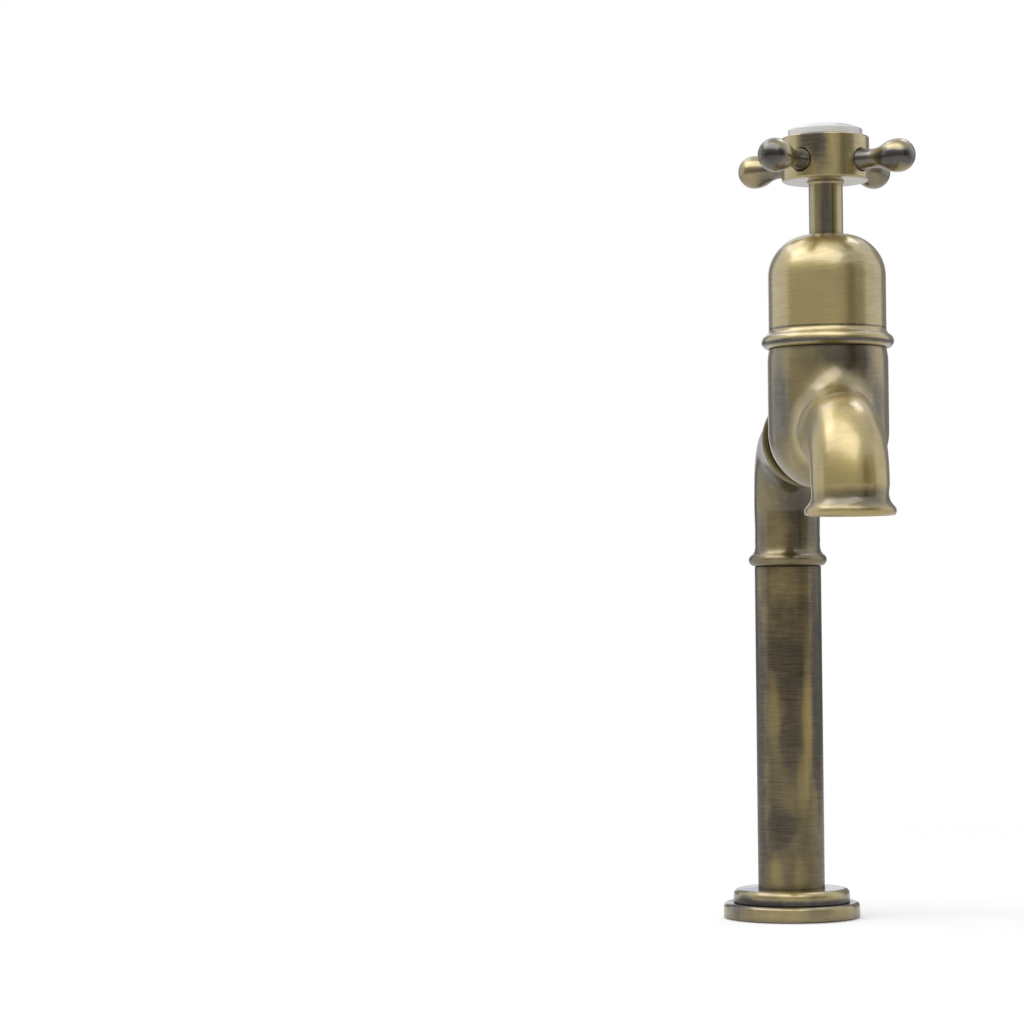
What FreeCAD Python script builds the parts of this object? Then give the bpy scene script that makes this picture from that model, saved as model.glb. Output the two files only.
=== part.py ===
import math
import os

import FreeCAD
import Part

# Cross handle tap, millimetres.
# Origin: centre of the deck face under the foot. +Z up, the spout points to -Y.

# ---- foot ---------------------------------------------------------------
FLANGE_R = 22.5
FLANGE_H = 5.0
FLANGE_ROUND = 1.3
FLANGE_BORE_R = 9.8
SEAL_IN = 15.6
SEAL_OUT = 19.6
SEAL_H = 1.6
COLLAR_R = 19.2
COLLAR_TOP = 9.6
COLLAR_ROUND = 1.9

# ---- pillar -------------------------------------------------------------
PILLAR_R = 11.0
PILLAR_IN = 9.75
PILLAR_TOP = 116.2
SPIGOT_R = 9.7
SHOULDER_R = 13.0
SHOULDER_Z = 3.0
INLET_THREAD_R = 7.475
INLET_THREAD_LEN = 14.0
SOCKET_BORE_R = 6.6
SOCKET_TOP = 26.0
ORING_MINOR = 0.66
ORING_MAJOR = 9.07
GROOVE_R = 8.4
GROOVE_HALF = 1.0
LOWER_RINGS = (18.5, 22.5)
UPPER_RINGS = (106.5, 110.5)

# ---- elbow and union ----------------------------------------------------
AXIS_Z = 154.83
WATER_R = 7.5
ELBOW_BEND = 22.0
ELBOW_SECTION_LOW = ((126.0, 10.74), (129.5, 10.77), (AXIS_Z - ELBOW_BEND, 10.85))
ELBOW_SECTION_BEND = ((18, 11.0), (36, 11.2), (54, 11.36), (72, 11.46), (90, 11.52))
ELBOW_SECTION_RUN = ((-30, 11.6), (-38, 11.72), (-45, 11.95), (-51, 12.35), (-56, 13.0), (-60, 13.9),
                     (-63, 14.88))
BEAD_R = 2.0
BEAD_CX = 10.92
BEAD_CZ = 118.25
NIPPLE_R = 9.4
NIPPLE_BORE_R = NIPPLE_R + 0.03
NIPPLE_Y0 = -76.9
NIPPLE_Y1 = -50.1
UNION_SEAL_IN = 9.6
UNION_SEAL_OUT = 12.2

# ---- tap body and spout -------------------------------------------------
BODY_Y = -107.4
BODY_R = 17.95
BODY_TOP = 179.4
SPOUT_Y = -152.2
SPOUT_AXIS_Z = 153.5
SPOUT_R = 11.2
SPOUT_BEND = 16.4
SPOUT_FILLET = 10.3
SPOUT_BORE_R = 8.6
SPOUT_START = SPOUT_Y + SPOUT_BEND
BEND_LOW = SPOUT_AXIS_Z - SPOUT_BEND
MOUTH_Z = 128.4
MOUTH_BORE_R = 9.35
BOSS_R = 13.2
BOSS_NECK_R = 11.45
BOSS_FILLET = 5.0
INLET_R = 6.5
FEED_R = 5.0
CHAMBER_R = 15.2
SEAT_Z = 163.0
CHAMBER_TOP = 170.5
OUTLET_R = 4.0
OUTLET_OFFSET = 10.9

# ---- ceramic headwork ---------------------------------------------------
HEX_HALF = 11.0
HEX_Z0 = 181.2
HEX_Z1 = 189.0
DISC_R = 8.2
DISC_POCKET_R = 8.3
SPINDLE_R = 4.0
SPINDLE_BORE_R = 4.05
SPINDLE_HEAD_R = 6.4
SPINDLE_RINGS = (183.0, 187.5)
CLIP_Z0 = 208.1
CLIP_Z1 = 209.1
CLIP_IN = 3.2

# ---- bonnet and stem ----------------------------------------------------
BONNET_R = 17.52
BONNET_BOTTOM = 179.55
BONNET_TOP = 213.6
BONNET_DOME = 12.6
BONNET_WALL = 1.6
BONNET_HOLE_R = 5.2
BONNET_BEAD_R = 1.95
STEM_R = 5.08

# ---- cross handle -------------------------------------------------------
HUB_R = 13.07
HUB_BOTTOM = 229.5
HUB_TOP = 242.7
ARM_Z = 234.94
BALL_R = 4.97
BALL_C = 26.0            # valve axis to ball centre
ARM_ANGLE = 48.0         # first arm, degrees from +X, valve closed
ARM_NAMES = ("rear_right", "rear_left", "front_left", "front_right")
ARM_SOCKET_R = 3.6
STUD_R = 2.5
INDEX_R = 11.1
INDEX_TOP = 247.2

GAP = 0.03               # clearance on a radius of fitted pieces
PAST = 1.0               # how far a cutting shape runs past the surface it cuts

X = FreeCAD.Vector(1, 0, 0)
Y = FreeCAD.Vector(0, 1, 0)
Z = FreeCAD.Vector(0, 0, 1)
ORIGIN = FreeCAD.Vector(0, 0, 0)


def v(x, y, z):
    return FreeCAD.Vector(x, y, z)


def polar(radius, degrees, cx=0.0, cy=0.0):
    a = math.radians(degrees)
    return (cx + radius * math.cos(a), cy + radius * math.sin(a))


def upright(point):
    """Profile point (radius, height) as a vector in the XZ plane."""
    return v(point[0], 0, point[1])


def profile_face(path):
    """Closed face in the XZ plane from points, ("arc", mid, end) and ("spline", points)."""
    edges = []
    here = path[0]
    for step in path[1:] + [path[0]]:
        if step[0] == "arc":
            edges.append(Part.Arc(upright(here), upright(step[1]), upright(step[2])).toShape())
            here = step[2]
        elif step[0] == "spline":
            curve = Part.BSplineCurve()
            curve.interpolate([upright(here)] + [upright(p) for p in step[1]])
            edges.append(curve.toShape())
            here = step[1][-1]
        elif math.hypot(here[0] - step[0], here[1] - step[1]) > 1e-6:
            edges.append(Part.makeLine(upright(here), upright(step)))
            here = step
    return Part.Face(Part.Wire(edges))


def turned(path, y=0.0):
    """Solid of revolution about the upright line x=0, y=y."""
    solid = profile_face(path).revolve(ORIGIN, Z, 360)
    solid.translate(v(0, y, 0))
    return solid


def turned_along_y(path):
    """Solid of revolution about the level line at AXIS_Z; heights in the path are y."""
    solid = profile_face(path).revolve(ORIGIN, Z, 360)
    solid.rotate(ORIGIN, X, -90)
    solid.translate(v(0, 0, AXIS_Z))
    return solid


def disc(r, z0, z1, y=0.0):
    return Part.makeCylinder(r, z1 - z0, v(0, y, z0), Z)


def tube(r_out, r_in, z0, z1, y=0.0):
    return disc(r_out, z0, z1, y).cut(disc(r_in, z0 - PAST, z1 + PAST, y))


def level_cylinder(r, y0, y1, z):
    return Part.makeCylinder(r, y1 - y0, v(0, y0, z), Y)


def ring(major, minor, z, y=0.0):
    return Part.makeTorus(major, minor, v(0, y, z), Z)


def box(x0, x1, y0, y1, z0, z1):
    return Part.makeBox(x1 - x0, y1 - y0, z1 - z0, v(x0, y0, z0))


def corner(cx, cz, r, a0, a1):
    """Arc step about (cx, cz) from angle a0 to a1 in degrees."""
    return ("arc", polar(r, (a0 + a1) / 2.0, cx, cz), polar(r, a1, cx, cz))


def dome_step(r0, z0, z_top):
    """Arc step from (r0, z0) to the axis at z_top, centred on the axis."""
    rise = z_top - z0
    radius = (r0 ** 2 + rise ** 2) / (2 * rise)
    a = 0.5 * math.asin(r0 / radius)
    return ("arc", (radius * math.sin(a), z_top - radius * (1 - math.cos(a))), (0, z_top))


def swept(r, edges):
    """Round bar of radius r along the edges."""
    wire = Part.Wire(edges)
    first = wire.Edges[0]
    start = first.valueAt(first.FirstParameter)
    along = first.tangentAt(first.FirstParameter)
    return wire.makePipeShell([Part.Wire([Part.makeCircle(r, start, along)])], True, True)


def grooves(solid, levels):
    """The solid with a ring groove cut at each level."""
    for z in levels:
        solid = solid.cut(tube(SPIGOT_R + PAST, GROOVE_R, z - GROOVE_HALF, z + GROOVE_HALF))
    return solid


# ---- foot and pillar ----------------------------------------------------
def deck_flange():
    edge = 0.35
    slack = 0.1
    recess = SHOULDER_R + 0.05
    return turned([
        (FLANGE_BORE_R, 0.0), (SEAL_IN - slack, 0.0), (SEAL_IN - slack, SEAL_H),
        (SEAL_OUT + slack, SEAL_H), (SEAL_OUT + slack, 0.0), (FLANGE_R - edge, 0.0),
        corner(FLANGE_R - edge, edge, edge, -90, 0),
        (FLANGE_R, FLANGE_H - FLANGE_ROUND),
        corner(FLANGE_R - FLANGE_ROUND, FLANGE_H - FLANGE_ROUND, FLANGE_ROUND, 0, 90),
        (recess, FLANGE_H), (recess, SHOULDER_Z), (FLANGE_BORE_R, SHOULDER_Z),
    ])


def base_seal():
    return tube(SEAL_OUT, SEAL_IN, 0.0, SEAL_H)


def foot_collar():
    edge = 0.25
    return turned([
        (PILLAR_R + GAP, FLANGE_H), (COLLAR_R - edge, FLANGE_H), (COLLAR_R, FLANGE_H + edge),
        (COLLAR_R, COLLAR_TOP - COLLAR_ROUND),
        corner(COLLAR_R - COLLAR_ROUND, COLLAR_TOP - COLLAR_ROUND, COLLAR_ROUND, 0, 90),
        (PILLAR_R + GAP, COLLAR_TOP),
    ])


def inlet_socket():
    lead = 0.6
    socket = turned([
        (INLET_THREAD_R, 0.0), (SPIGOT_R, 0.0), (SPIGOT_R, SHOULDER_Z), (SHOULDER_R, SHOULDER_Z),
        (SHOULDER_R, FLANGE_H), (SPIGOT_R, FLANGE_H), (SPIGOT_R, SOCKET_TOP - 1.0),
        (SPIGOT_R - lead, SOCKET_TOP), (SOCKET_BORE_R, SOCKET_TOP),
        (SOCKET_BORE_R, INLET_THREAD_LEN), (INLET_THREAD_R, INLET_THREAD_LEN),
    ])
    return grooves(socket, LOWER_RINGS)


def pillar_tube():
    edge = 0.3
    return turned([
        (PILLAR_IN, FLANGE_H), (PILLAR_R, FLANGE_H), (PILLAR_R, PILLAR_TOP - edge),
        (PILLAR_R - edge, PILLAR_TOP), (PILLAR_IN, PILLAR_TOP),
    ])


def pillar_o_rings():
    return Part.makeCompound([ring(ORING_MAJOR, ORING_MINOR, z) for z in LOWER_RINGS + UPPER_RINGS])


# ---- elbow and union ----------------------------------------------------
def elbow_section(y, z, angle, r):
    """Circle across the elbow path; angle 0 faces up, 90 faces -Y."""
    a = math.radians(angle)
    circle = Part.Circle(v(0, y, z), v(0, -math.sin(a), math.cos(a)), r)
    circle.XAxis = X
    return Part.Wire([circle.toShape()])


def elbow_skin():
    """Bend that swells from the pillar to the flared mouth."""
    bend_top = AXIS_Z - ELBOW_BEND
    sections = [elbow_section(0, z, 0, r) for z, r in ELBOW_SECTION_LOW]
    for angle, r in ELBOW_SECTION_BEND:
        y, z = polar(ELBOW_BEND, angle, -ELBOW_BEND, bend_top)
        sections.append(elbow_section(y, z, angle, r))
    sections += [elbow_section(y, AXIS_Z, 90, r) for y, r in ELBOW_SECTION_RUN]
    return Part.makeLoft(sections, True, False)


def elbow_collar():
    """Beaded foot of the elbow where it sits on the pillar."""
    z0 = PILLAR_TOP + 0.05
    bead_end = polar(BEAD_R, 62, BEAD_CX, BEAD_CZ)
    return turned([
        (0, z0), (BEAD_CX + 0.35, z0),
        ("arc", (BEAD_CX + BEAD_R, BEAD_CZ), bead_end),
        ("spline", [(11.25, 120.75), (10.86, 121.8), (10.75, 123.6), (10.74, 126.0)]),
        (0, 126.0),
    ])


def elbow_spigot():
    return turned([
        (0, 103.0), (SPIGOT_R - 0.6, 103.0), (SPIGOT_R, 104.0),
        (SPIGOT_R, PILLAR_TOP + 0.1), (0, PILLAR_TOP + 0.1),
    ])


def elbow_lip():
    return turned_along_y([
        (0, -63.0), (0, -65.0), (14.2, -65.0),
        ("arc", (14.9, -64.72), (15.14, -64.05)),
        ("arc", (15.12, -63.5), (14.88, -63.0)),
    ])


def elbow_water_path():
    bend_top = AXIS_Z - ELBOW_BEND
    mid_y, mid_z = polar(ELBOW_BEND, 45, -ELBOW_BEND, bend_top)
    return [
        Part.makeLine(v(0, 0, 100.0), v(0, 0, bend_top)),
        Part.Arc(v(0, 0, bend_top), v(0, mid_y, mid_z), v(0, -ELBOW_BEND, AXIS_Z)).toShape(),
        Part.makeLine(v(0, -ELBOW_BEND, AXIS_Z), v(0, -70.0, AXIS_Z)),
    ]


def elbow():
    shape = elbow_skin().fuse([elbow_collar(), elbow_spigot(), elbow_lip()])
    shape = shape.cut(swept(WATER_R, elbow_water_path()))
    shape = shape.cut(level_cylinder(NIPPLE_BORE_R, -66.0, NIPPLE_Y1 + 0.1, AXIS_Z))
    shape = shape.cut(level_cylinder(13.38, -66.0, -63.6, AXIS_Z))
    return grooves(shape, UPPER_RINGS)


def union_nipple():
    edge = 0.5
    return turned_along_y([
        (WATER_R, NIPPLE_Y0), (NIPPLE_R - edge, NIPPLE_Y0), (NIPPLE_R, NIPPLE_Y0 + edge),
        (NIPPLE_R, NIPPLE_Y1 - edge), (NIPPLE_R - edge, NIPPLE_Y1), (WATER_R, NIPPLE_Y1),
    ])


def union_seal():
    return turned_along_y([
        (UNION_SEAL_IN, -64.9), (UNION_SEAL_OUT, -64.9),
        (UNION_SEAL_OUT, -63.6), (UNION_SEAL_IN, -63.6),
    ])


# ---- tap body with spout ------------------------------------------------
def body_core():
    """Upright barrel with a round bottom."""
    low_x, low_z = polar(BODY_R, -45, 0, AXIS_Z)
    return turned([
        (0, AXIS_Z - BODY_R),
        ("arc", (low_x, low_z), (BODY_R, AXIS_Z)),
        (BODY_R, 175.1),
        ("arc", (BODY_R - 0.125, 177.25), (BODY_R - 0.5, BODY_TOP)),
        (0, BODY_TOP),
    ], BODY_Y)


def junction_edges(shape, r, z, y_from, y_to):
    """Edges on the level cylinder of radius r at height z between two y values."""
    found = []
    for edge in shape.Edges:
        span = edge.LastParameter - edge.FirstParameter
        points = [edge.valueAt(edge.FirstParameter + span * k / 8.0) for k in range(9)]
        on_wall = all(abs(math.hypot(p.x, p.z - z) - r) < 0.02 for p in points)
        inside = all(y_from < p.y < y_to for p in points)
        width = max(p.x for p in points) - min(p.x for p in points)
        if on_wall and inside and width > 0.5:
            found.append(edge)
    return found


def inlet_boss():
    """Round seat for the union, waisted towards the barrel."""
    return turned_along_y([
        (0, -63.9), (BOSS_R - 0.5, -63.9),
        ("arc", (BOSS_R - 0.12, -64.1), (BOSS_R, -64.6)),
        (BOSS_R, -66.6),
        ("spline", [(12.75, -67.7), (11.9, -69.6), (11.5, -72.5), (BOSS_NECK_R, -76.0)]),
        (BOSS_NECK_R, BODY_Y), (0, BODY_Y),
    ])


def spout_path(y0, z1):
    """Centre line of the spout from y0 over the bend down to z1."""
    mid_y, mid_z = polar(SPOUT_BEND, 135, SPOUT_START, BEND_LOW)
    return [
        Part.makeLine(v(0, y0, SPOUT_AXIS_Z), v(0, SPOUT_START, SPOUT_AXIS_Z)),
        Part.Arc(v(0, SPOUT_START, SPOUT_AXIS_Z), v(0, mid_y, mid_z), v(0, SPOUT_Y, BEND_LOW)).toShape(),
        Part.makeLine(v(0, SPOUT_Y, BEND_LOW), v(0, SPOUT_Y, z1)),
    ]


def spout_bend():
    wide = 30
    bend = swept(SPOUT_R, spout_path(SPOUT_START + 0.5, BEND_LOW - 0.5))
    return bend.common(box(-wide, wide, SPOUT_Y - wide, SPOUT_START, BEND_LOW, AXIS_Z + wide))


def spout_nose():
    """Slight neck and the flared lip of the mouth."""
    return turned([
        (0, BEND_LOW), (SPOUT_R, BEND_LOW),
        ("spline", [(11.02, 135.6), (10.95, 134.4), (11.08, 133.3), (11.5, 132.3), (12.05, 131.5),
                    (12.6, 130.85)]),
        ("arc", (13.05, 129.75), (12.75, MOUTH_Z + 0.25)),
        ("arc", (12.55, MOUTH_Z + 0.07), (12.3, MOUTH_Z)),
        (0, MOUTH_Z),
    ], SPOUT_Y)


def body_skin():
    run = level_cylinder(SPOUT_R, SPOUT_START, BODY_Y + 2, SPOUT_AXIS_Z)
    shape = body_core().fuse(run).removeSplitter()
    front = junction_edges(shape, SPOUT_R, SPOUT_AXIS_Z, BODY_Y - BODY_R - 0.2, BODY_Y - 8)
    shape = shape.makeFillet(SPOUT_FILLET, front)
    shape = shape.fuse(inlet_boss()).removeSplitter()
    rear = junction_edges(shape, BOSS_NECK_R, AXIS_Z, BODY_Y + 8, BODY_Y + BODY_R + 0.2)
    shape = shape.makeFillet(BOSS_FILLET, rear)
    return shape.fuse([spout_bend(), spout_nose()]).removeSplitter()


def tap_body():
    shape = body_skin()
    cuts = [
        level_cylinder(NIPPLE_BORE_R, NIPPLE_Y0 - 0.1, -60.0, AXIS_Z),
        turned_along_y([(9.5, -64.95), (12.3, -64.95), (12.3, -63.0), (9.5, -63.0)]),
        level_cylinder(INLET_R, -101.0, -76.0, AXIS_Z),
        level_cylinder(FEED_R, BODY_Y, -100.0, AXIS_Z),
        disc(FEED_R, AXIS_Z, SEAT_Z + PAST, BODY_Y).fuse(Part.makeSphere(FEED_R, v(0, BODY_Y, AXIS_Z))),
        disc(CHAMBER_R, SEAT_Z, CHAMBER_TOP, BODY_Y),
        disc(10.5, CHAMBER_TOP - 0.5, BODY_TOP + PAST, BODY_Y),
        disc(12.35, 177.65, BODY_TOP + PAST, BODY_Y),
        disc(OUTLET_R, SPOUT_AXIS_Z, SEAT_Z + PAST, BODY_Y - OUTLET_OFFSET),
        swept(SPOUT_BORE_R, spout_path(-115.2, 135.0)),
        turned([
            (0, 136.1), (MOUTH_BORE_R, 136.1), (MOUTH_BORE_R, 131.2), (11.7, MOUTH_Z - 0.01),
            (11.7, MOUTH_Z - PAST), (0, MOUTH_Z - PAST),
        ], SPOUT_Y),
    ]
    for cut in cuts:
        shape = shape.cut(cut)
    return shape


def straightener_seal():
    return tube(9.3, 8.7, 135.3, 136.1, SPOUT_Y)


def flow_straightener():
    """Ring with eight vanes in the mouth of the spout."""
    z0 = 130.4
    z1 = 134.0
    half_vane = 0.35
    reach = 8.2
    parts = [disc(1.3, z0, z1, SPOUT_Y), tube(5.2, 4.5, z0, z1, SPOUT_Y)]
    for k in range(4):
        vane = box(-reach, reach, -half_vane, half_vane, z0, z1)
        vane.rotate(ORIGIN, Z, 45.0 * k)
        vane.translate(v(0, SPOUT_Y, 0))
        parts.append(vane)
    return tube(9.3, 7.9, 129.9, 135.3, SPOUT_Y).fuse(parts)


# ---- ceramic headwork ---------------------------------------------------
def hexagon_nut():
    across_corners = HEX_HALF / math.cos(math.pi / 6)
    corners = []
    for k in range(7):
        x, y = polar(across_corners, 60 * k + 30, 0, BODY_Y)
        corners.append(v(x, y, HEX_Z0))
    prism = Part.Face(Part.makePolygon(corners)).extrude(v(0, 0, HEX_Z1 - HEX_Z0))
    chamfer = turned([(0, HEX_Z0), (12.3, HEX_Z0), (12.3, 188.1), (11.2, HEX_Z1), (0, HEX_Z1)], BODY_Y)
    return prism.common(chamfer)


def headwork_body():
    shape = turned([
        (0, 163.6), (9.0, 163.6), (9.0, 170.9), (10.45, 171.5), (10.45, BODY_TOP), (12.9, BODY_TOP),
        (12.9, HEX_Z0), (8.0, HEX_Z0), (8.0, 199.5), (7.0, 200.2), (7.0, 207.4), (6.4, 208.0), (0, 208.0),
    ], BODY_Y)
    shape = shape.fuse(hexagon_nut()).removeSplitter()
    shape = shape.cut(disc(DISC_POCKET_R, SEAT_Z, 169.4, BODY_Y))
    shape = shape.cut(disc(6.6, 169.0, 173.5, BODY_Y))
    shape = shape.cut(disc(SPINDLE_BORE_R, 173.0, 209.0, BODY_Y))
    windows = box(-12, 12, BODY_Y - 4.5, BODY_Y + 4.5, 167.0, 169.6)
    return shape.cut(windows.cut(disc(DISC_POCKET_R - 0.05, 166.0, 171.0, BODY_Y)))


def headwork_o_ring():
    return ring(11.4, 0.84, 178.52, BODY_Y)


def seat_seal():
    return tube(DISC_R, 5.7, SEAT_Z, 164.6, BODY_Y)


def sector(r_in, r_out, half, mid, z0, z1):
    """Sector of a ring about the valve axis, half and mid in degrees."""
    inner = [v(*polar(r_in, a), z0) for a in (mid + half, mid, mid - half)]
    outer = [v(*polar(r_out, a), z0) for a in (mid - half, mid, mid + half)]
    wire = Part.Wire([
        Part.Arc(*outer).toShape(), Part.makeLine(outer[2], inner[0]),
        Part.Arc(*inner).toShape(), Part.makeLine(inner[2], outer[0]),
    ])
    piece = Part.Face(wire).extrude(v(0, 0, z1 - z0))
    piece.translate(v(0, BODY_Y, 0))
    return piece


def fixed_disc():
    shape = disc(DISC_R, 164.6, 166.9, BODY_Y)
    for mid in (90, 270):
        shape = shape.cut(sector(2.2, 6.2, 36, mid, 164.0, 167.5))
    return shape


def turning_disc():
    shape = disc(DISC_R, 166.95, 169.3, BODY_Y)
    for mid in (0, 180):
        shape = shape.cut(sector(2.2, 9.5, 38, mid, 166.0, 170.0))
    return shape.cut(box(-1.55, 1.55, BODY_Y - 7.0, BODY_Y + 7.0, 168.1, 169.3))


def on_handle_square(half, z0, z1):
    """Square prism about the valve axis, turned to the arms."""
    prism = box(-half, half, BODY_Y - half, BODY_Y + half, z0, z1)
    prism.rotate(v(0, BODY_Y, 0), Z, ARM_ANGLE)
    return prism


def spindle():
    shape = turned([
        (0, 169.35), (SPINDLE_HEAD_R, 169.35), (SPINDLE_HEAD_R, 172.4), (SPINDLE_R, 172.4),
        (SPINDLE_R, 228.6), (3.3, 229.2), (0, 229.2),
    ], BODY_Y)
    tang = box(-1.5, 1.5, BODY_Y - 6.0, BODY_Y + 6.0, 168.2, 169.5)
    square = on_handle_square(3.3, 227.6, 234.6).common(disc(SPINDLE_R, 227.6, 234.6, BODY_Y))
    shape = shape.fuse([tang, square]).removeSplitter()
    for z in SPINDLE_RINGS:
        shape = shape.cut(tube(5.0, 2.75, z - 1.0, z + 1.0, BODY_Y))
    shape = shape.cut(tube(5.0, CLIP_IN, CLIP_Z0, CLIP_Z1, BODY_Y))
    return shape.cut(disc(2.05, 221.0, 236.0, BODY_Y))


def spindle_o_rings():
    return Part.makeCompound([ring(3.39, 0.63, z, BODY_Y) for z in SPINDLE_RINGS])


def thrust_washer():
    return tube(6.5, 4.1, 172.45, 173.45, BODY_Y)


def spindle_circlip():
    z0 = CLIP_Z0 + 0.05
    z1 = CLIP_Z1 - 0.05
    shape = tube(5.2, CLIP_IN, z0, z1, BODY_Y)
    shape = shape.cut(box(-2.3, 2.3, BODY_Y, BODY_Y + 8, CLIP_Z0 - PAST, CLIP_Z1 + PAST))
    for side in (-1, 1):
        shape = shape.fuse(Part.makeCylinder(0.95, z1 - z0, v(side * 3.3, BODY_Y + 3.7, z0), Z))
    return shape.removeSplitter()


# ---- bonnet and stem ----------------------------------------------------
def bonnet_cover():
    """Domed cover with a bead at its foot, hollow over the headwork."""
    cx = BONNET_R - BONNET_DOME
    cz = BONNET_TOP - BONNET_DOME
    inner = BONNET_DOME - BONNET_WALL
    boss_r = 10.2
    thread_r = 7.05
    hole_z = cz + math.sqrt(BONNET_DOME ** 2 - (BONNET_HOLE_R - cx) ** 2)
    boss_z = cz + math.sqrt(inner ** 2 - (boss_r - cx) ** 2)
    bead_end = polar(BONNET_BEAD_R, 60, 17.74, 181.65)
    boss_mid = polar(inner, 0.5 * math.degrees(math.acos((boss_r - cx) / inner)), cx, cz)
    return turned([
        (BONNET_R - BONNET_WALL, BONNET_BOTTOM), (17.85, BONNET_BOTTOM),
        ("arc", (17.74 + BONNET_BEAD_R, 181.62), bead_end),
        ("spline", [(18.0, 183.95), (17.64, 184.55), (17.53, 185.5)]),
        (BONNET_R, 186.0), (BONNET_R, cz),
        ("arc", polar(BONNET_DOME, 46, cx, cz), (BONNET_HOLE_R, hole_z)),
        (BONNET_HOLE_R, 210.4), (thread_r, 210.4), (thread_r, 203.0), (boss_r, 203.0), (boss_r, boss_z),
        ("arc", boss_mid, (BONNET_R - BONNET_WALL, cz)),
    ], BODY_Y)


def spindle_sleeve():
    foot_r = 5.5
    return turned([
        (SPINDLE_BORE_R, 210.0), (STEM_R, 210.0), (STEM_R, 228.2),
        ("spline", [(5.16, 228.75), (foot_r, 229.2)]),
        (foot_r, HUB_BOTTOM), (SPINDLE_BORE_R, HUB_BOTTOM),
    ], BODY_Y)


# ---- cross handle -------------------------------------------------------
def handle_hub():
    low = 0.75
    top = 0.5
    shape = turned([
        (0, HUB_BOTTOM), (HUB_R - low, HUB_BOTTOM),
        corner(HUB_R - low, HUB_BOTTOM + low, low, -90, 0),
        (HUB_R, HUB_TOP - top),
        corner(HUB_R - top, HUB_TOP - top, top, 0, 90),
        (9.6, HUB_TOP), (9.6, 239.2), (4.5, 239.2), (4.5, 237.0), (0, 237.0),
    ], BODY_Y)
    shape = shape.cut(on_handle_square(3.35, 229.0, 235.0))
    shape = shape.cut(disc(2.2, 234.0, 238.0, BODY_Y))
    centre = v(0, BODY_Y, ARM_Z)
    for k in range(4):
        out = v(*polar(1.0, ARM_ANGLE + 90 * k), 0)
        shape = shape.cut(Part.makeCylinder(STUD_R + GAP, 8.0, centre + out * 5.9, out))
        shape = shape.cut(Part.makeCylinder(ARM_SOCKET_R, 8.0, centre + out * 11.0, out))
    return shape


def handle_arm(k):
    """Stud, waisted arm and ball, turned to the k-th place of the cross."""
    ball_mid = polar(BALL_R, 45, 0, BALL_C)
    arm = turned([
        (0, 6.1), (STUD_R - 0.4, 6.1), (STUD_R, 6.5), (STUD_R, 11.0), (3.4, 11.0), (3.4, 12.4),
        ("spline", [(3.16, 14.0), (2.9, 15.8), (2.81, 17.2), (2.94, 18.6), (3.44, 20.4), (4.4, 22.6),
                    (4.89, 24.6), (BALL_R, BALL_C)]),
        ("arc", ball_mid, (0, BALL_C + BALL_R)),
    ])
    arm.rotate(ORIGIN, Y, 90)
    arm.rotate(ORIGIN, Z, ARM_ANGLE + 90 * k)
    arm.translate(v(0, BODY_Y, ARM_Z))
    return arm


def index_disc():
    """White dome that snaps into the top of the hub."""
    rim_z = HUB_TOP + 1.9
    rim_round = 0.6
    neck_r = 9.5
    shelf = HUB_TOP + 0.9
    return turned([
        (7.3, 239.5), (neck_r, 239.5), (neck_r, 240.2), (9.0, 240.2), (9.0, 241.2), (neck_r, 241.2),
        (neck_r, HUB_TOP), (INDEX_R - 0.3, HUB_TOP), (INDEX_R, HUB_TOP + 0.3), (INDEX_R, rim_z),
        corner(INDEX_R - rim_round, rim_z, rim_round, 0, 60),
        dome_step(INDEX_R - 0.3, rim_z + rim_round * math.sin(math.pi / 3), INDEX_TOP),
        (0, shelf), (7.3, shelf),
    ], BODY_Y)


def index_ring():
    return ring(9.3, 0.29, 240.7, BODY_Y)


def handle_screw():
    head_r = 3.6
    head_z = 238.6
    shape = turned([
        (0, 222.5), (1.6, 222.5), (1.95, 222.9), (1.95, 237.0), (head_r, 237.0), (head_r, head_z),
        dome_step(head_r, head_z, 239.4),
    ], BODY_Y)
    for k in range(2):
        slot = box(-2.1, 2.1, -0.45, 0.45, head_z - 0.4, head_z + 1.2)
        slot.rotate(ORIGIN, Z, 90 * k)
        slot.translate(v(0, BODY_Y, 0))
        shape = shape.cut(slot)
    return shape


def save(shape, name):
    if shape.ShapeType != "Compound":
        shape = shape.removeSplitter()
    if shape.ShapeType == "Compound" and len(shape.Solids) == 1:
        shape = shape.Solids[0]
    if not shape.isValid():
        print("NOT VALID", name)
    print(name, "solids", len(shape.Solids), "volume", round(shape.Volume, 1))
    shape.exportStep("parts/" + name + ".step")


PIECES = {
    "deck_flange": deck_flange, "base_seal": base_seal, "foot_collar": foot_collar,
    "inlet_socket": inlet_socket, "pillar_tube": pillar_tube, "pillar_o_rings": pillar_o_rings,
    "elbow": elbow, "union_nipple": union_nipple, "union_seal": union_seal,
    "tap_body": tap_body, "straightener_seal": straightener_seal, "flow_straightener": flow_straightener,
    "headwork_body": headwork_body, "headwork_o_ring": headwork_o_ring, "seat_seal": seat_seal,
    "fixed_disc": fixed_disc, "turning_disc": turning_disc, "spindle": spindle,
    "spindle_o_rings": spindle_o_rings, "thrust_washer": thrust_washer, "spindle_circlip": spindle_circlip,
    "bonnet_cover": bonnet_cover, "spindle_sleeve": spindle_sleeve, "handle_hub": handle_hub,
    "index_disc": index_disc, "index_ring": index_ring, "handle_screw": handle_screw,
}

os.makedirs("parts", exist_ok=True)
for piece_name, make in PIECES.items():
    save(make(), piece_name)
for place, arm_name in enumerate(ARM_NAMES):
    save(handle_arm(place), "handle_arm_" + arm_name)
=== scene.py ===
import math

import bpy
from mathutils import Matrix, Vector


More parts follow.
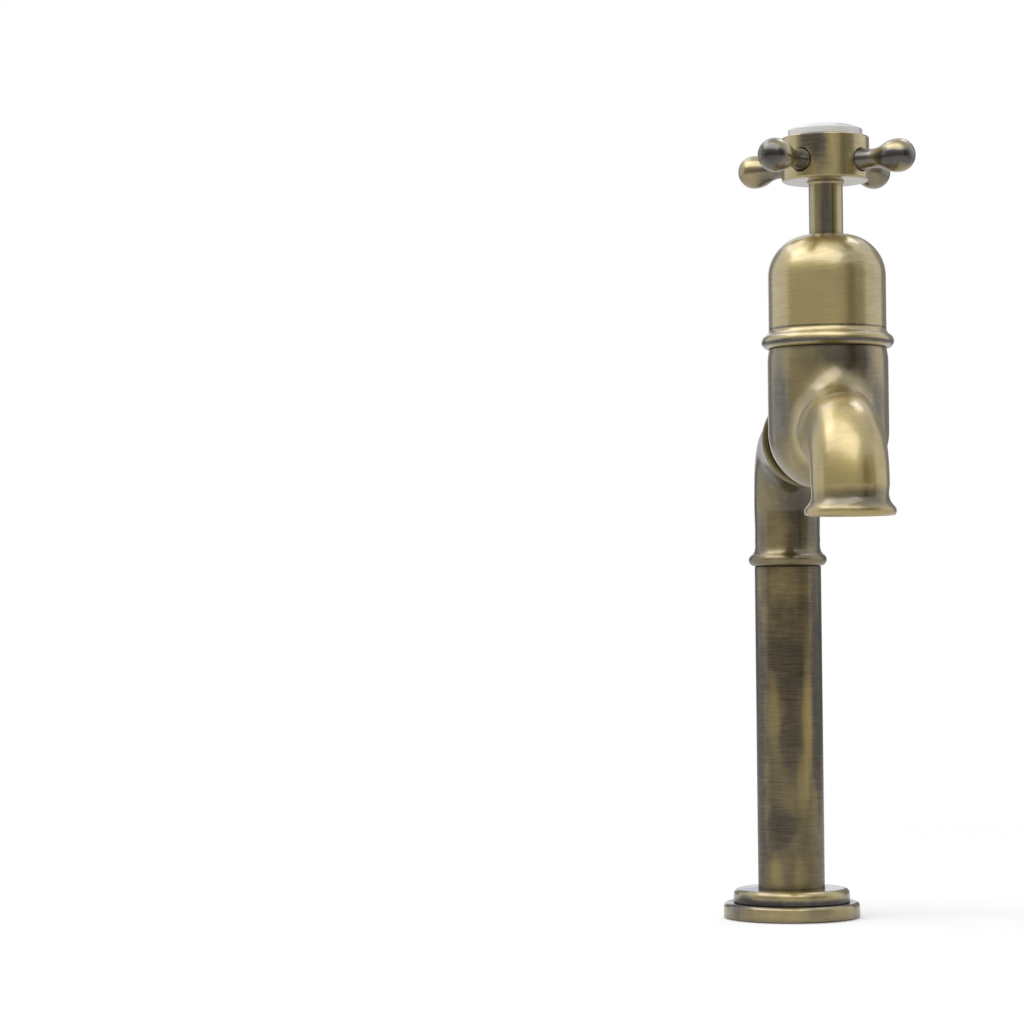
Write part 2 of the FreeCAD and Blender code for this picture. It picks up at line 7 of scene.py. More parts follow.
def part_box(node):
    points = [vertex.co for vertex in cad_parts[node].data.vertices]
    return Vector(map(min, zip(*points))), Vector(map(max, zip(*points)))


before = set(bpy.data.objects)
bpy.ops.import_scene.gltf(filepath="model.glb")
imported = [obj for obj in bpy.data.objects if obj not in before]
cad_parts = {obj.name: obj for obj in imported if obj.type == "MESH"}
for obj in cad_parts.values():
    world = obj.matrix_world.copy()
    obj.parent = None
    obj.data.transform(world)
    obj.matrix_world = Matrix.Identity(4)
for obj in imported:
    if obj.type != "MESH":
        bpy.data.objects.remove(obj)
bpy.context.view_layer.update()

# Cross handle tap in aged brass, in metres and in the frame of the solids:
# the foot stands at the origin, +Z is up and the spout points to -Y.


def middle(node):
    """Centre of a node's box."""
    low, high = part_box(node)
    return (low + high) / 2


# ---- places on the tap --------------------------------------------------------
VALVE_Y = middle("bonnet_cover").y       # axis of headwork, bonnet and handle
SPOUT_Y = middle("flow_straightener").y  # axis of the spout's mouth
INLET_Z = middle("union_nipple").z       # level of the elbow's mouth and the inlet
SPOUT_Z = 0.1535                         # level of the spout
SPOUT_BEND = 0.0164                      # radius of the spout's bend
ELBOW_BEND = 0.022                       # radius of the elbow's bend
BODY_RADIUS = 0.018                      # radius of the valve body

# ---- camera: the photograph's view ---------------------------------------------
FOCAL_PX = 3083.0        # focal length in pixels of the square photograph
FRAME_PX = 1024.0        # its width
SENSOR_MM = 36.0
CAM_OFFSET = Vector((0.09153, 1.02521, -0.10342))   # foot centre, seen from the camera before it tilts
CAM_YAW = 0.0286         # radians, as are the next two
CAM_PITCH = 0.0308       # upward
CAM_ROLL = -0.0092


def make_camera():
    """Camera at the photograph's place, looking along +Y and a little upward."""
    yaw = Matrix.Rotation(CAM_YAW, 3, "Z")
    tilt = Matrix.Rotation(CAM_ROLL, 3, "Y") @ Matrix.Rotation(-CAM_PITCH, 3, "X")
    axes = tilt @ yaw
    right, ahead, up = axes.row[0], axes.row[1], axes.row[2]
    pose = Matrix((right, up, -ahead)).transposed().to_4x4()
    pose.translation = yaw.transposed() @ (-CAM_OFFSET)
    data = bpy.data.cameras.new("photo_camera")
    data.sensor_width = SENSOR_MM
    data.lens = FOCAL_PX / FRAME_PX * SENSOR_MM
    camera = bpy.data.objects.new("photo_camera", data)
    camera.matrix_world = pose
    bpy.context.scene.collection.objects.link(camera)
    bpy.context.scene.camera = camera


# ---- node graphs ----------------------------------------------------------------
class Graph:
    """Short calls that add nodes to one material or world."""

    def __init__(self, owner):
        owner.use_nodes = True
        self.tree = owner.node_tree
        self.tree.nodes.clear()

    def node(self, kind, inputs=None, **settings):
        """A node with its settings, and its inputs linked or set."""
        made = self.tree.nodes.new(kind)
        for key, value in settings.items():
            setattr(made, key, value)
        for key, value in (inputs or {}).items():
            if isinstance(value, bpy.types.NodeSocket):
                self.tree.links.new(value, made.inputs[key])
            else:
                made.inputs[key].default_value = value
        return made

    def math(self, operation, *values, clamp=False):
        made = self.node("ShaderNodeMath", dict(enumerate(values)), operation=operation, use_clamp=clamp)
        return made.outputs[0]

    def vector(self, operation, *values):
        return self.node("ShaderNodeVectorMath", dict(enumerate(values)), operation=operation).outputs[0]

    def combine(self, x, y, z):
        return self.node("ShaderNodeCombineXYZ", {0: x, 1: y, 2: z}).outputs[0]

    def split(self, vector):
        return self.node("ShaderNodeSeparateXYZ", {0: vector}).outputs

    def length(self, x, y):
        """Length of the vector (x, y)."""
        squares = self.math("ADD", self.math("MULTIPLY", x, x), self.math("MULTIPLY", y, y))
        return self.math("SQRT", squares)

    def noise(self, vector, scale, detail=2.0, rough=0.5):
        made = self.node("ShaderNodeTexNoise", {"Vector": vector, "Scale": scale, "Detail": detail,
                                                "Roughness": rough})
        return made.outputs[0]

    def fade(self, value, low, high, to_low=0.0, to_high=1.0):
        """Smooth step of value between low and high."""
        made = self.node("ShaderNodeMapRange", {0: value, 1: low, 2: high, 3: to_low, 4: to_high},
                         interpolation_type="SMOOTHSTEP")
        return made.outputs[0]

    def mix(self, share, first, second):
        """Colour between first and second."""
        made = self.node("ShaderNodeMix", {0: share, 6: first, 7: second}, data_type="RGBA")
        return made.outputs[2]

    def here(self):
        """Place on the object, which stays with it when it turns."""
        return self.node("ShaderNodeTexCoord").outputs["Object"]

    def principled(self, inputs):
        """Finish a material with this surface."""
        self.surface(self.node("ShaderNodeBsdfPrincipled", inputs).outputs[0])

    def surface(self, shader):
        output = self.node("ShaderNodeOutputMaterial")
        self.tree.links.new(shader, output.inputs["Surface"])


def rgb(red, green, blue):
    return (red, green, blue, 1.0)


# ---- where the brush lines run ----------------------------------------------------
# Each field gives the distance along the piece, across which the lines repeat,
# and the direction of its axis.
FACE_LINES = 1.37        # the lines lie this much closer on level faces
TINY = 0.00001           # keeps the angle of a bend defined at its centre
SPOUT_FROM = 0.001       # the spout's lines begin this far behind the body's front
SPOUT_FULL = 0.006       # and are alone this far before it


def turned_field(graph, axis_y):
    """Lathe lines round the vertical line at y = axis_y, also on level faces."""
    x, y, z = graph.split(graph.here())
    radius = graph.length(x, graph.math("SUBTRACT", y, axis_y))
    along = graph.math("MULTIPLY_ADD", radius, FACE_LINES, z)
    return along, graph.combine(0.0, 0.0, 1.0)


def upright(axis_y):
    """Field of a piece that is turned about the vertical line at y = axis_y."""
    return lambda graph: turned_field(graph, axis_y)


def arm_field(graph):
    """Lines round the arms of the handle, which point away from the valve axis."""
    x, y, _ = graph.split(graph.here())
    off = graph.math("SUBTRACT", y, VALVE_Y)
    outward = graph.node("ShaderNodeVectorTransform", {0: graph.combine(x, off, 0.0)}, vector_type="VECTOR",
                         convert_from="OBJECT", convert_to="WORLD").outputs[0]
    return graph.length(x, off), graph.vector("NORMALIZE", outward)


def bend_field(graph, start_y, level, radius, outward):
    """Lines round a pipe that runs level, bends through a quarter circle and runs down.

    The bend starts at y = start_y, and outward is +1 or -1, the way it goes in y.
    """
    _, y, z = graph.split(graph.here())
    past = graph.math("MULTIPLY", graph.math("SUBTRACT", y, start_y), outward)
    above = graph.math("SUBTRACT", z, level - radius)
    angle = graph.math("ARCTAN2", graph.math("MAXIMUM", past, 0.0), graph.math("MAXIMUM", above, TINY))
    level_part = graph.math("MINIMUM", past, 0.0)
    down_part = graph.math("MINIMUM", above, 0.0)
    straight = graph.math("SUBTRACT", level_part, down_part)
    along = graph.math("MULTIPLY_ADD", angle, radius, straight)
    direction = graph.combine(0.0, graph.math("MULTIPLY", graph.math("COSINE", angle), outward),
                              graph.math("MULTIPLY", graph.math("SINE", angle), -1.0))
    return along, direction


def elbow_field(graph):
    """The elbow is brushed round its own axis."""
    return bend_field(graph, -ELBOW_BEND, INLET_Z, ELBOW_BEND, 1.0)


def body_field(graph):
    """The valve body is turned upright, and its spout is brushed round its own axis."""
    upright_along, up = turned_field(graph, VALVE_Y)
    spout_along, ahead = bend_field(graph, SPOUT_Y + SPOUT_BEND, SPOUT_Z, SPOUT_BEND, -1.0)
    front = VALVE_Y - BODY_RADIUS
    y = graph.split(graph.here())[1]
    on_spout = graph.fade(y, front + SPOUT_FROM, front - SPOUT_FULL)
    along = graph.node("ShaderNodeMix", {0: on_spout, 2: upright_along, 3: spout_along},
                       data_type="FLOAT").outputs[0]
    direction = graph.node("ShaderNodeMix", {0: on_spout, 4: up, 5: ahead},
                           data_type="VECTOR").outputs[1]
    return along, direction


# ---- aged brass -------------------------------------------------------------------
BRASS = rgb(0.42, 0.32, 0.112)           # brushed brass
BRASS_PALE = rgb(0.56, 0.445, 0.19)      # where the brush has cut through
PATINA = rgb(0.084, 0.067, 0.037)        # olive ageing colour
PATINA_BROWN = rgb(0.075, 0.056, 0.035)  # the same on the drawn tube
PATINA_GREY = rgb(0.064, 0.058, 0.048)   # the same on the arms of the handle
DARK_PATINA_AND_SHADE = rgb(0.042, 0.035, 0.023)   # near black patina in the gaps between pieces, which also paints the shade there
LINE_PITCH = 0.00036                     # spacing of the brush lines
STREAK = 0.0065                          # length of one line
LINE_DEPTH = 0.00006
COARSE = 0.3                             # share of the coarse lines among the fine ones
COARSE_SHIFT = 0.31                      # keeps the coarse lines from following the fine ones
BRUSH_SPREAD = 0.6                       # anisotropy of the brushed metal
LACQUER_ROUGH = 0.15
LACQUER_IOR = 1.85                       # above a real lacquer's 1.5, for brighter rims
PATCH_SCALE = 75.0                       # noise scale of the wide soft patches
PATCH_STRETCH = (1.0, 1.0, 0.55)         # below one draws them out upright
GAP_REACH = 0.0045                       # the gaps' dark patina and painted shade reach to where another face is this near
MARK_CORE = 0.25                        # a mark of painted shade, painted highlight or stain is full up to here, in half sizes
MARK_EDGE = 1.15                        # and gone from here on
MARK_WANDER = 0.7                       # how far its edge wanders, in half sizes
WANDER_SCALE = 140.0                     # noise scale of that wandering
WANDER_STRETCH = (1.0, 1.0, 0.4)
MM = 0.001


def shade_ring(axis_y, z, half_height, reach, amount):
    """Band of painted shade all round a turned piece; reach is its half size across, past the piece's
    radius.
    """
    return (0.0, axis_y, z), (reach, reach, half_height), amount


# Soft marks: (centre), (half sizes), amount, in millimetres. Most are painted shade and painted highlights,
# in place of the bands of light and dark that the brass reflects; those on the handle's arms are patches of
# patina. An amount below zero is a brighter patch: a painted highlight, except on the arms and over the
# spout, where the finish is worn.
# Painted shade: a dark band low on the collar, where the flange hides the light from it, darker patches on
# the left of the collar and the flange, and a faint darker patch on the front of the flange.
FOOT_PAINTED_SHADE = (
    shade_ring(0.0, 5.7, 1.6, 40.0, 2.0),
    ((-13.0, -4.0, 9.8), (9.0, 13.0, 1.0), 1.2),
    ((-17.0, -10.0, 6.6), (6.0, 6.0, 2.0), 0.8),
    ((4.0, -21.0, 3.0), (9.0, 5.0, 1.6), 0.3),
    ((-19.0, -9.0, 3.5), (8.0, 9.0, 6.0), 0.5),
)
# Painted shade and painted highlights: dark down both sides and bright upright bands on the front, in place
# of the reflections, with darker patches on the front.
PILLAR_SHADE_AND_SHEEN = (
    ((8.8, -6.0, 78.0), (3.6, 6.0, 48.0), 0.9),
    ((-10.8, -2.0, 60.0), (2.6, 7.0, 60.0), 0.7),
    ((-1.0, -10.0, 112.0), (10.0, 6.0, 10.0), -0.2),
    ((0.0, -11.0, 82.0), (7.0, 5.0, 13.0), 0.3),
    ((-1.0, -11.0, 60.0), (4.0, 4.0, 18.0), 0.3),
    ((4.6, -9.8, 64.0), (2.2, 3.0, 26.0), -0.6),
    ((-6.4, -9.2, 64.0), (2.6, 3.0, 18.0), -0.25),
    ((-4.0, -10.0, 31.0), (7.0, 5.0, 6.5), 0.5),
    ((3.0, -10.4, 44.0), (2.4, 3.0, 12.0), -0.4),
    ((-6.0, -9.2, 14.0), (3.0, 4.0, 8.0), -0.45),
    ((2.0, -10.4, 14.0), (3.0, 4.0, 8.0), -0.3),
)
# Painted shade on the front of the bend just below the body and down the right side, and a painted
# highlight on the front left.
ELBOW_SHADE_AND_SHEEN = (
    ((3.0, -11.0, 137.0), (8.0, 7.0, 7.0), 0.4),
    ((9.5, -5.0, 126.0), (4.0, 8.0, 18.0), 0.2),
    ((-5.0, -10.0, 124.0), (6.0, 5.0, 10.0), -0.15),
)
# The spout brighter, where the finish is rubbed back; then painted shade and painted highlights: darker on
# the top, both sides and the right fillet, a painted highlight above the spout's root and a lighter band
# low on the left, and painted shade in the flare above the mouth.
BODY_WEAR_SHADE_AND_SHEEN = (
    ((0.0, -155.0, 140.0), (30.0, 32.0, 40.0), -0.45),
    ((4.5, -125.0, 177.5), (11.0, 6.0, 8.0), 0.8),
    ((9.5, -122.5, 171.0), (5.0, 7.0, 9.0), 0.4),
    ((5.5, -127.0, 164.5), (4.5, 5.0, 4.5), -0.4),
    ((13.2, -119.6, 163.0), (3.5, 5.0, 10.0), 0.6),
    ((-16.0, -116.0, 163.0), (4.4, 8.0, 28.0), 0.5),
    ((-9.0, -123.5, 177.0), (9.0, 6.0, 6.0), 0.15),
    ((-10.0, -122.5, 152.0), (2.8, 5.0, 12.0), -0.4),
    ((0.0, -160.0, 132.9), (16.0, 14.0, 4.0), 1.0),
)
# Painted shade: dark bands round the bead and under the skirt, in place of the bands in their reflections.
BONNET_SHADE_BANDS = (
    shade_ring(VALVE_Y / MM, 180.9, 0.8, 60.0, 1.6),
    shade_ring(VALVE_Y / MM, 183.4, 0.35, 60.0, 0.55),
    shade_ring(VALVE_Y / MM, 185.3, 0.4, 60.0, 1.1),
)
# Painted shade: an upright dark stripe down the front of the stem, where its reflection is dark.
STEM_SHADE_STRIPE = (
    ((-0.6, -112.3, 216.0), (2.2, 2.6, 22.0), 0.8),
)
# Painted shade on the left and the right of the hub's front, and a painted highlight just right of its
# centre.
HUB_SHADE_AND_SHEEN = (
    ((-5.6, -119.0, 240.0), (5.4, 5.0, 6.8), 1.25),
    ((-3.0, -120.0, 235.0), (3.8, 4.0, 8.0), 0.75),
    ((1.6, -120.3, 238.5), (1.7, 3.0, 8.0), -0.25),
    ((5.6, -119.3, 238.0), (2.2, 3.0, 6.0), 0.3),
)
ARM_STAINS = (
    ((-18.6, -130.5, 234.6), (4.8, 5.0, 2.9), 0.9),
    ((-13.8, -128.0, 237.0), (2.2, 5.0, 3.0), -0.35),
    ((18.0, -126.5, 233.8), (7.5, 8.0, 3.3), 1.0),
    ((-10.2, -118.5, 233.6), (4.5, 5.0, 6.0), 1.15),
    ((9.5, -116.0, 237.0), (3.6, 5.0, 3.0), 0.8),
)


def brush_lines(graph, along, pitch, streak):
    """0 to 1 pattern of fine lines, thin along the axis and long round it."""
    x, y, _ = graph.split(graph.here())
    place = graph.combine(graph.math("DIVIDE", x, streak), graph.math("DIVIDE", y, streak),
                          graph.math("DIVIDE", along, pitch))
    return graph.noise(place, 1.0, 3.0, 0.6)


def add_stains_and_painted_light(graph, share, stains_and_painted_light):
    """Adds the marks to the share of patina: stains, painted shade and painted highlights."""
    place = graph.here()
    wander = graph.noise(graph.vector("MULTIPLY", place, WANDER_STRETCH), WANDER_SCALE, 3.0, 0.6)
    shift = graph.math("MULTIPLY_ADD", wander, MARK_WANDER, -MARK_WANDER / 2)
    for centre, half, amount in stains_and_painted_light:
        off = graph.vector("SUBTRACT", place, tuple(c * MM for c in centre))
        scaled = graph.vector("DIVIDE", off, tuple(h * MM for h in half))
        far = graph.node("ShaderNodeVectorMath", {0: scaled}, operation="LENGTH").outputs["Value"]
        far = graph.math("ADD", far, shift)
        share = graph.math("ADD", share, graph.fade(far, MARK_EDGE, MARK_CORE, 0.0, amount))
    return share


def patina_share(graph, aged, patchy, stains_and_painted_light, seed):
    """Share of patina from wide soft patches, plus the stains, painted shade and painted highlights of the
    marks.
    """
    shifted = graph.vector("ADD", graph.here(), (seed, seed * 0.7, seed * 0.3))
    wide = graph.noise(graph.vector("MULTIPLY", shifted, PATCH_STRETCH), PATCH_SCALE, 3.0, 0.55)
    share = graph.math("MULTIPLY_ADD", graph.fade(wide, 0.35, 0.68), patchy, aged - patchy * 0.4)
    return add_stains_and_painted_light(graph, share, stains_and_painted_light)


def aged_brass(name, field, aged, patchy, lines, rough=0.4, coat=1.0, stains_and_painted_light=(), seed=0.0, patina=PATINA):
    """Brushed brass, aged brown in patches, under a clear lacquer, with dark patina and painted shade in
    its gaps and the stains and painted light of the given marks.

    aged is the share of patina all over, and patchy how much it varies. A share of one is brown, and of two
    is the near black of the gaps, dark patina that also paints their shade, and of the darkest marks. lines
    is how much the brush lines show, coat is how much lacquer is left, and seed moves the patches.
    """
    material = bpy.data.materials.new(name)
    graph = Graph(material)
    along, direction = field(graph)
    fine = brush_lines(graph, along, LINE_PITCH, STREAK)
    shifted = graph.math("ADD", along, seed + COARSE_SHIFT)
    coarse = brush_lines(graph, shifted, LINE_PITCH * 3, STREAK * 1.5)
    both = graph.math("MULTIPLY_ADD", coarse, COARSE, graph.math("MULTIPLY", fine, 1.0 - COARSE))
    cut = graph.fade(both, 0.36, 0.66)

    # The brush has cut a little of the patina away again, and left it whole between its lines.
    share = patina_share(graph, aged, patchy, stains_and_painted_light, seed)
    deep = graph.math("SUBTRACT", share, 1.0, clamp=True)
    share = graph.math("MAXIMUM", graph.math("MINIMUM", share, 1.0), 0.0)
    share = graph.math("MULTIPLY", share, graph.math("MULTIPLY_ADD", cut, -0.3 * lines, 1.0 + 0.05 * lines))
    # Dark patina and painted shade in the gaps: ambient occlusion darkens the colour where another face is
    # near, as do marks past a share of one.
    gap = graph.node("ShaderNodeAmbientOcclusion", {"Distance": GAP_REACH}, samples=8).outputs["AO"]
    gap_patina_and_shade = graph.math("MAXIMUM", graph.fade(gap, 0.8, 0.25), deep)

    colour = graph.mix(graph.math("MULTIPLY", cut, 0.5 * lines), BRASS, BRASS_PALE)
    colour = graph.mix(share, colour, patina)
    colour = graph.mix(gap_patina_and_shade, colour, DARK_PATINA_AND_SHADE)

    # Patina and painted shade are rougher than bare brass, and the lacquer is thinner in the gaps and the
    # darkest marks.
    grit = graph.math("MULTIPLY_ADD", cut, -0.07 * lines, rough)
    grit = graph.math("MULTIPLY_ADD", share, 0.08, grit)
    bump = graph.node("ShaderNodeBump", {"Strength": 0.22 * lines, "Distance": LINE_DEPTH, "Height": both})
    coat_thinned_in_gaps = graph.math("MULTIPLY_ADD", gap_patina_and_shade, -0.6 * coat, coat)
    graph.principled({
        "Base Color": colour, "Metallic": 1.0, "Roughness": grit, "Normal": bump.outputs[0],
        "Anisotropic": BRUSH_SPREAD, "Tangent": direction,
        "Coat Weight": coat_thinned_in_gaps, "Coat Roughness": LACQUER_ROUGH, "Coat IOR": LACQUER_IOR,
        "Coat Normal": bump.outputs[0],
    })
    return material


# ---- other materials ----------------------------------------------------------------
def raw_brass():
    """Machined brass inside the tap, with plain turning marks."""
    material = bpy.data.materials.new("machined_brass")
    graph = Graph(material)
    along = turned_field(graph, VALVE_Y)[0]
    marks = brush_lines(graph, along, LINE_PITCH, STREAK)
    colour = graph.mix(marks, rgb(0.62, 0.46, 0.2), rgb(0.78, 0.62, 0.32))
    rough = graph.math("MULTIPLY_ADD", marks, 0.15, 0.22)
    graph.principled({"Base Color": colour, "Metallic": 1.0, "Roughness": rough})
    return material


def porcelain():
    """White glazed porcelain, a little uneven under the glaze."""
    material = bpy.data.materials.new("white_porcelain")
    graph = Graph(material)
    cloud = graph.noise(graph.here(), 220.0, 3.0, 0.5)
    colour = graph.mix(graph.fade(cloud, 0.35, 0.7), rgb(0.70, 0.70, 0.68), rgb(0.76, 0.76, 0.75))
    ripple = graph.noise(graph.here(), 300.0, 1.0, 0.4)
    bump = graph.node("ShaderNodeBump", {"Strength": 0.05, "Distance": 0.0002, "Height": ripple})
    graph.principled({
        "Base Color": colour, "Roughness": 0.12, "Normal": bump.outputs[0],
        "Coat Weight": 0.6, "Coat Roughness": 0.03,
    })
    return material


def matt(name, dark, pale, scale, roughness, metallic=0.0):
    """Plain moulded, rubber, ceramic or steel surface with a fine mottle."""
    material = bpy.data.materials.new(name)
    graph = Graph(material)
    mottle = graph.noise(graph.here(), scale, 4.0, 0.6)
    colour = graph.mix(mottle, dark, pale)
    rough = graph.math("MULTIPLY_ADD", mottle, 0.2, roughness)
    bump = graph.node("ShaderNodeBump", {"Strength": 0.15, "Distance": 0.0001, "Height": mottle})
    graph.principled({
        "Base Color": colour, "Metallic": metallic, "Roughness": rough, "Normal": bump.outputs[0],
    })
    return material


def outer_materials():
    """The aged brass of every outer piece, by the start of its name."""
    foot = aged_brass("brass_foot", upright(0.0), aged=0.25, patchy=0.5, lines=0.4,
                      stains_and_painted_light=FOOT_PAINTED_SHADE, seed=0.11)
    pillar = aged_brass("brass_pillar", upright(0.0), aged=0.85, patchy=0.35, lines=0.6, coat=0.4,
                        stains_and_painted_light=PILLAR_SHADE_AND_SHEEN, seed=0.23, patina=PATINA_BROWN)
    elbow = aged_brass("brass_elbow", elbow_field, aged=0.8, patchy=0.4, lines=0.5, coat=0.6,
                       stains_and_painted_light=ELBOW_SHADE_AND_SHEEN, seed=0.37)
    body = aged_brass("brass_body", body_field, aged=0.45, patchy=0.3, lines=0.45, coat=0.75,
                      stains_and_painted_light=BODY_WEAR_SHADE_AND_SHEEN, seed=0.41)
    bonnet = aged_brass("brass_bonnet", upright(VALVE_Y), aged=0.12, patchy=0.2, lines=1.0, rough=0.42,
                        stains_and_painted_light=BONNET_SHADE_BANDS, seed=0.59)
    stem = aged_brass("brass_stem", upright(VALVE_Y), aged=0.2, patchy=0.3, lines=0.35, rough=0.3,
                      stains_and_painted_light=STEM_SHADE_STRIPE, seed=0.67)
    hub = aged_brass("brass_hub", upright(VALVE_Y), aged=0.1, patchy=0.2, lines=0.8, rough=0.38,
                     stains_and_painted_light=HUB_SHADE_AND_SHEEN, seed=0.73)
    arm = aged_brass("brass_arm", arm_field, aged=0.55, patchy=0.6, lines=0.15, rough=0.28, coat=0.9,
                     stains_and_painted_light=ARM_STAINS, seed=0.83, patina=PATINA_GREY)
    return {
        "deck_flange": foot, "foot_collar": foot, "pillar_tube": pillar, "elbow": elbow, "tap_body": body,
        "bonnet_cover": bonnet, "spindle_sleeve": stem, "handle_hub": hub, "handle_arm": arm,
    }


def inner_materials():
    """Materials of the other pieces, by the slot that each has in the frame."""
    return {
        "raw_brass": raw_brass(),
        "porcelain": porcelain(),
        "disc_ceramic": matt("disc_ceramic", rgb(0.62, 0.6, 0.56), rgb(0.75, 0.73, 0.7), 900.0, 0.2),
        "rubber": matt("black_rubber", rgb(0.012, 0.012, 0.013), rgb(0.03, 0.03, 0.032), 1500.0, 0.55),
        "nylon": matt("grey_nylon", rgb(0.32, 0.32, 0.31), rgb(0.42, 0.42, 0.41), 1200.0, 0.4),
        "steel": matt("screw_steel", rgb(0.5, 0.5, 0.5), rgb(0.65, 0.65, 0.66), 2500.0, 0.22, 1.0),
    }


def finish_nodes():
    """Give every solid its material."""
    outer = outer_materials()
    inner = inner_materials()
    for name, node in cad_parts.items():
        found = [material for start, material in outer.items() if name.startswith(start)]
        for place in node.material_slots:
            slot_name = place.material.name.split(".")[0]
            if found:
                place.material = found[0]
            elif slot_name in inner:
                place.material = inner[slot_name]


# ---- studio ---------------------------------------------------------------------------
AIM = Vector((0.0, -0.08, 0.13))         # the lamps point here, and the cards stand round it
AREA_LAMP = 4.0                          # power of an area lamp over its radiance times its area
FLOOR_RADIUS = 1.6
FLOOR_CLEAR = 0.16                       # the floor starts to fade into the backdrop here
FLOOR_GONE = 0.5
FLOOR_DROP = 0.0002                      # keeps the floor clear of the foot
FLOOR_LIFT = 0.27                        # brings the lit floor up to the backdrop's white
FLOOR_RINGS = 24
FLOOR_SIDES = 96
CARD_SIDES = 24
CARD_FOOT = -0.4                         # the cards begin below the floor's level
CARD_TINT = rgb(0.94, 0.95, 1.0)
GLOSSY_TINT = rgb(0.9, 0.93, 1.0)        # the backdrop as the brass reflects it
MATT_LIGHT = 0.5                         # the backdrop's light on matt surfaces
WHITE = rgb(1.0, 1.0, 1.0)


def toward(azimuth, elevation):
    """Unit vector; azimuth 0 is -Y, the side of the camera, and 90 is +X."""
    a, e = math.radians(azimuth), math.radians(elevation)
    return Vector((math.sin(a) * math.cos(e), -math.cos(a) * math.cos(e), math.sin(e)))


def softbox(name, azimuth, elevation, distance, width, height, radiance):
    """Rectangular lamp of even radiance, aimed at the tap."""
    data = bpy.data.lights.new(name, "AREA")
    data.shape = "RECTANGLE"
    data.size = width
    data.size_y = height
    data.energy = radiance * width * height * AREA_LAMP
    lamp = bpy.data.objects.new(name, data)
    away = toward(azimuth, elevation)
    lamp.location = AIM + away * distance
    lamp.rotation_mode = "QUATERNION"
    lamp.rotation_quaternion = away.to_track_quat("Z", "Y")
    lamp.visible_camera = False
    bpy.context.scene.collection.objects.link(lamp)


def make_object(name, verts, faces, material):
    """Mesh object of the studio, which is no part of the tap."""
    mesh = bpy.data.meshes.new(name)
    mesh.from_pydata(verts, [], faces)
    mesh.materials.append(material)
    made = bpy.data.objects.new(name, mesh)
    bpy.context.scene.collection.objects.link(made)
    return made


def floor_paint():
    """Pale matt paint that turns clear far from the tap, for the camera only."""
    material = bpy.data.materials.new("pale_floor")
    graph = Graph(material)
    x, y, _ = graph.split(graph.here())
    seen = graph.node("ShaderNodeLightPath").outputs["Is Camera Ray"]
    gone = graph.math("MULTIPLY", graph.fade(graph.length(x, y), FLOOR_CLEAR, FLOOR_GONE), seen)
    grain = graph.noise(graph.here(), 60.0, 2.0)
    paint = graph.mix(grain, rgb(0.83, 0.83, 0.83), rgb(0.86, 0.86, 0.86))
    diffuse = graph.node("ShaderNodeBsdfDiffuse", {"Color": paint}).outputs[0]
    lift = graph.math("MULTIPLY", seen, FLOOR_LIFT)
    glow = graph.node("ShaderNodeEmission", {"Color": WHITE, "Strength": lift}).outputs[0]
    lit = graph.node("ShaderNodeAddShader", {0: diffuse, 1: glow}).outputs[0]
    clear = graph.node("ShaderNodeBsdfTransparent").outputs[0]
    graph.surface(graph.node("ShaderNodeMixShader", {0: gone, 1: lit, 2: clear}).outputs[0])
    return material


def make_floor():
    """Round floor that fades into the white backdrop and keeps the tap's shadow."""
    verts = [(0.0, 0.0, 0.0)]
    for step in range(1, FLOOR_RINGS + 1):
        r = FLOOR_RADIUS * (step / FLOOR_RINGS) ** 1.5
        for k in range(FLOOR_SIDES):
            a = 2 * math.pi * k / FLOOR_SIDES
            verts.append((r * math.cos(a), r * math.sin(a), 0.0))
    faces = [(0, 1 + k, 1 + (k + 1) % FLOOR_SIDES) for k in range(FLOOR_SIDES)]
    for step in range(1, FLOOR_RINGS):
        outer = 1 + step * FLOOR_SIDES
        inner = outer - FLOOR_SIDES
        for k in range(FLOOR_SIDES):
            n = (k + 1) % FLOOR_SIDES
            faces.append((inner + k, outer + k, outer + n, inner + n))
    floor = make_object("floor", verts, faces, floor_paint())
    floor.location.z = -FLOOR_DROP


def card_glow(name, top, low_tone, high_tone):
    """Glow that goes from low_tone at the card's foot to high_tone at its top."""
    material = bpy.data.materials.new(name)
    graph = Graph(material)
    z = graph.split(graph.here())[2]
    tone = graph.fade(z, CARD_FOOT, top, low_tone, high_tone)
    glow = graph.node("ShaderNodeEmission", {"Color": CARD_TINT, "Strength": tone})
    graph.surface(glow.outputs[0])
    return material


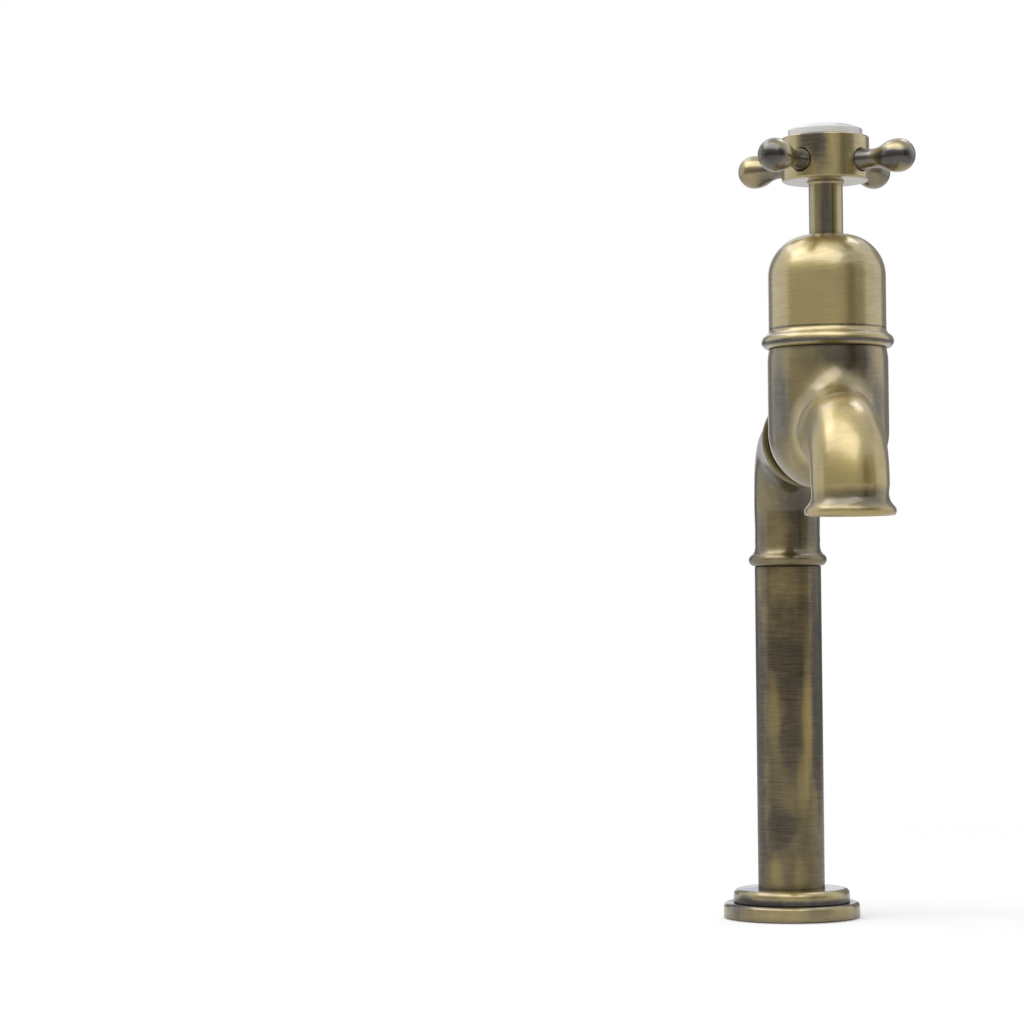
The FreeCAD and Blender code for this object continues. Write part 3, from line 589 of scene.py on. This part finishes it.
def make_card(name, azimuths, distance, top, tones):
    """Upright curved card round the tap, seen only in its reflections."""
    start, end = azimuths
    verts = []
    for k in range(CARD_SIDES + 1):
        away = toward(start + (end - start) * k / CARD_SIDES, 0.0) * distance
        verts.append((AIM.x + away.x, AIM.y + away.y, CARD_FOOT))
        verts.append((AIM.x + away.x, AIM.y + away.y, top))
    faces = [(2 * k, 2 * k + 1, 2 * k + 3, 2 * k + 2) for k in range(CARD_SIDES)]
    card = make_object(name, verts, faces, card_glow(name, top, *tones))
    card.visible_camera = False
    card.visible_diffuse = False
    card.visible_shadow = False
    card.visible_transmission = False


def make_world():
    """White backdrop for the camera and in reflections, softer light on matt surfaces."""
    world = bpy.data.worlds.new("studio")
    bpy.context.scene.world = world
    graph = Graph(world)
    ray = graph.node("ShaderNodeLightPath").outputs
    shown = graph.math("MAXIMUM", ray["Is Camera Ray"], ray["Is Glossy Ray"])
    shown = graph.math("MAXIMUM", shown, ray["Is Transmission Ray"])
    strength = graph.math("MULTIPLY_ADD", shown, 1.0 - MATT_LIGHT, MATT_LIGHT)
    tint = graph.mix(ray["Is Glossy Ray"], WHITE, GLOSSY_TINT)
    back = graph.node("ShaderNodeBackground", {"Color": tint, "Strength": strength})
    output = graph.node("ShaderNodeOutputWorld")
    graph.tree.links.new(back.outputs[0], output.inputs["Surface"])


def make_studio():
    """Backdrop, floor, three soft lamps and the cards that the brass reflects."""
    make_world()
    make_floor()
    softbox("front_softbox", azimuth=-36, elevation=58, distance=1.2, width=2.2, height=0.85, radiance=1.4)
    softbox("left_softbox", azimuth=-118, elevation=54, distance=1.1, width=1.0, height=0.36, radiance=1.0)
    softbox("rear_right_lamp", azimuth=140, elevation=58, distance=1.1, width=0.3, height=0.3, radiance=2.0)
    make_card("front_card", (-88, 72), distance=1.7, top=1.1, tones=(0.16, 0.5))
    make_card("dark_card", (31, 48), distance=1.5, top=0.95, tones=(0.02, 0.04))
    make_card("right_card", (72, 124), distance=1.7, top=1.3, tones=(0.95, 1.1))
    make_card("back_left_card", (-168, -142), distance=1.7, top=1.2, tones=(0.2, 0.3))
    make_card("back_right_card", (124, 170), distance=1.7, top=1.2, tones=(0.22, 0.3))


finish_nodes()
make_studio()
make_camera()
bpy.context.scene.view_settings.view_transform = "Standard"
